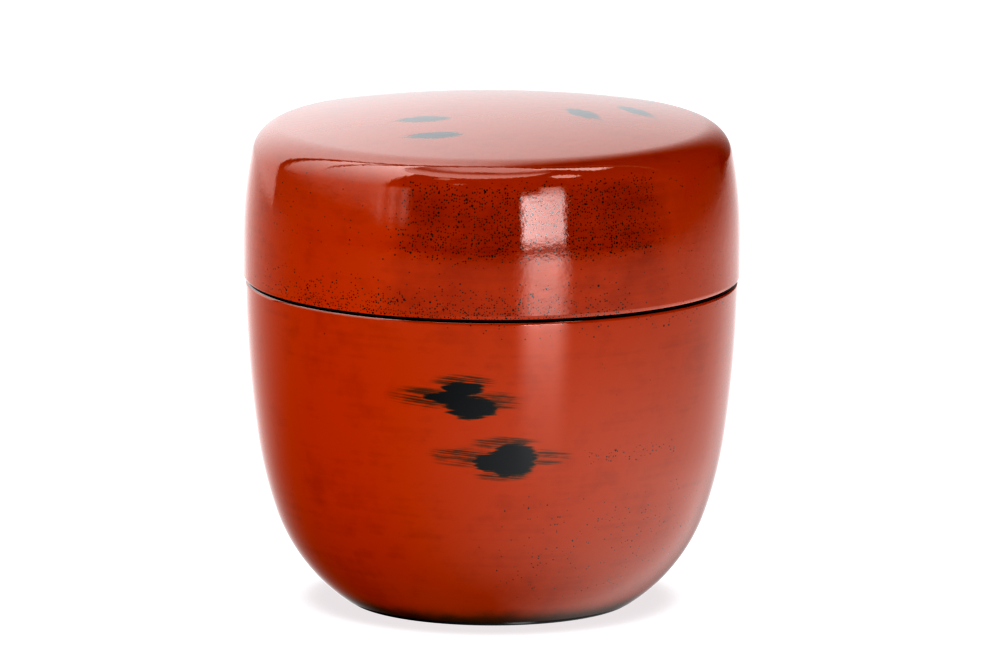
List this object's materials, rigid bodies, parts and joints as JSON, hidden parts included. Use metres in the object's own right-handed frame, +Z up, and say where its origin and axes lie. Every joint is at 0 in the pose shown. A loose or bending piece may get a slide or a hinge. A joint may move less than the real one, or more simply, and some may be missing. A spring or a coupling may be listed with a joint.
{
  "type": "tea caddy",
  "caption": "Round lacquered tea caddy with a flat-domed lift-off lid that slides over the cup's collar, for powdered tea.",
  "frame": {"origin": "centre of the foot's resting plane, on the turning axis", "axes": "+Z up along the turning axis, from the foot to the lid's crown; +X and +Y are free, as the object is round"},
  "size_m": [0.066, 0.066, 0.0663],
  "materials": {
    "vermilion_lacquer": "polished vermilion lacquer, rubbed through to black in places",
    "black_lacquer": "polished black lacquer",
    "turned_wood": "turned, unfinished under the lacquer"
  },
  "bodies": {
    "caddy_body": {"body_core": "turned_wood", "collar_ring": "turned_wood", "body_black_coat": "black_lacquer", "body_red_coat": "vermilion_lacquer", "body_lining": "black_lacquer", "foot_coat": "black_lacquer"},
    "caddy_lid": {"lid_core": "turned_wood", "lid_black_coat": "black_lacquer", "lid_red_coat": "vermilion_lacquer", "lid_lining": "black_lacquer"}
  },
  "joints": [
    {"name": "lid_lift", "type": "slide", "parent": "caddy_body", "child": "caddy_lid", "axis": [0, 0, 1], "range_m": [0, 0.06]}
  ]
}
